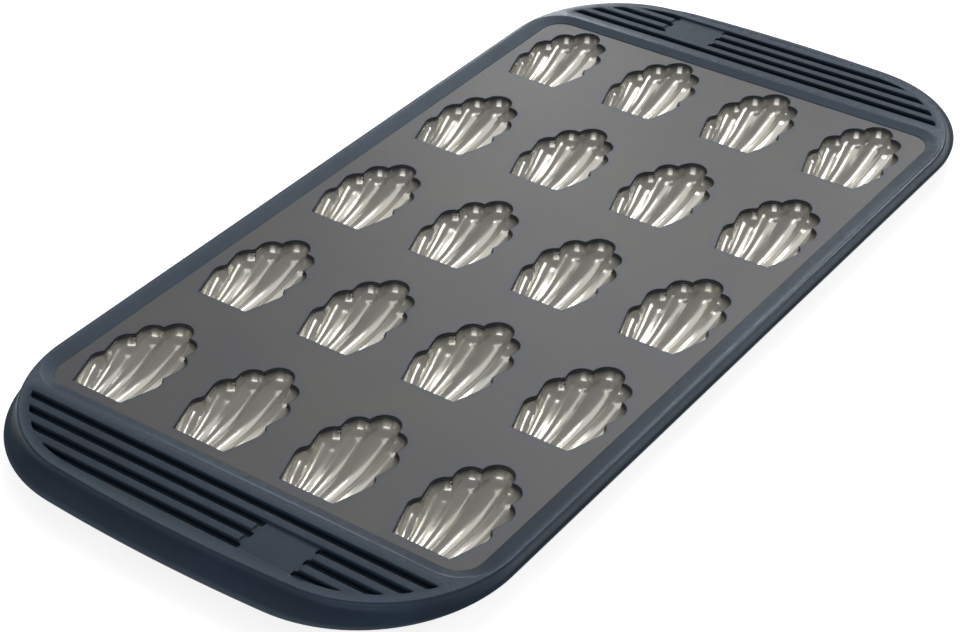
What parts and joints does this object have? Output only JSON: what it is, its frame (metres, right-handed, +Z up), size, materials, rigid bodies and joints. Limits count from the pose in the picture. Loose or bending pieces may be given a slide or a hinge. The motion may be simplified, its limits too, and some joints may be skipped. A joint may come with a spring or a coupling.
{
  "type": "madeleine pan",
  "caption": "Shallow baking pan with rows of shell-shaped cups in a grey web, held by a slate-blue moulded surround with a ribbed grip at each end.",
  "frame": {"origin": "Under the middle of the pan, on the surface that it rests on.", "axes": "+X along the pan, from the straight ends of the cups towards their tips. +Y across it. +Z up, out of the cups."},
  "size_m": [0.361, 0.178, 0.0125],
  "materials": {
    "surround": "satin moulded silicone, slate blue",
    "web": "satin grey coated sheet",
    "shell_cup": "bright pressed metal, warm grey, glossy",
    "wire": "drawn wire"
  },
  "bodies": {
    "root": {"shell_cup_row1_column1": "shell_cup", "shell_cup_row1_column2": "shell_cup", "shell_cup_row1_column3": "shell_cup", "shell_cup_row1_column4": "shell_cup", "shell_cup_row1_column5": "shell_cup", "shell_cup_row2_column1": "shell_cup", "shell_cup_row2_column2": "shell_cup", "shell_cup_row2_column3": "shell_cup", "shell_cup_row2_column4": "shell_cup", "shell_cup_row2_column5": "shell_cup", "shell_cup_row3_column1": "shell_cup", "shell_cup_row3_column2": "shell_cup", "shell_cup_row3_column3": "shell_cup", "shell_cup_row3_column4": "shell_cup", "shell_cup_row3_column5": "shell_cup", "shell_cup_row4_column1": "shell_cup", "shell_cup_row4_column2": "shell_cup", "shell_cup_row4_column3": "shell_cup", "shell_cup_row4_column4": "shell_cup", "shell_cup_row4_column5": "shell_cup", "web_panel": "web", "silicone_surround": "surround", "rim_wire": "wire"}
  },
  "joints": []
}
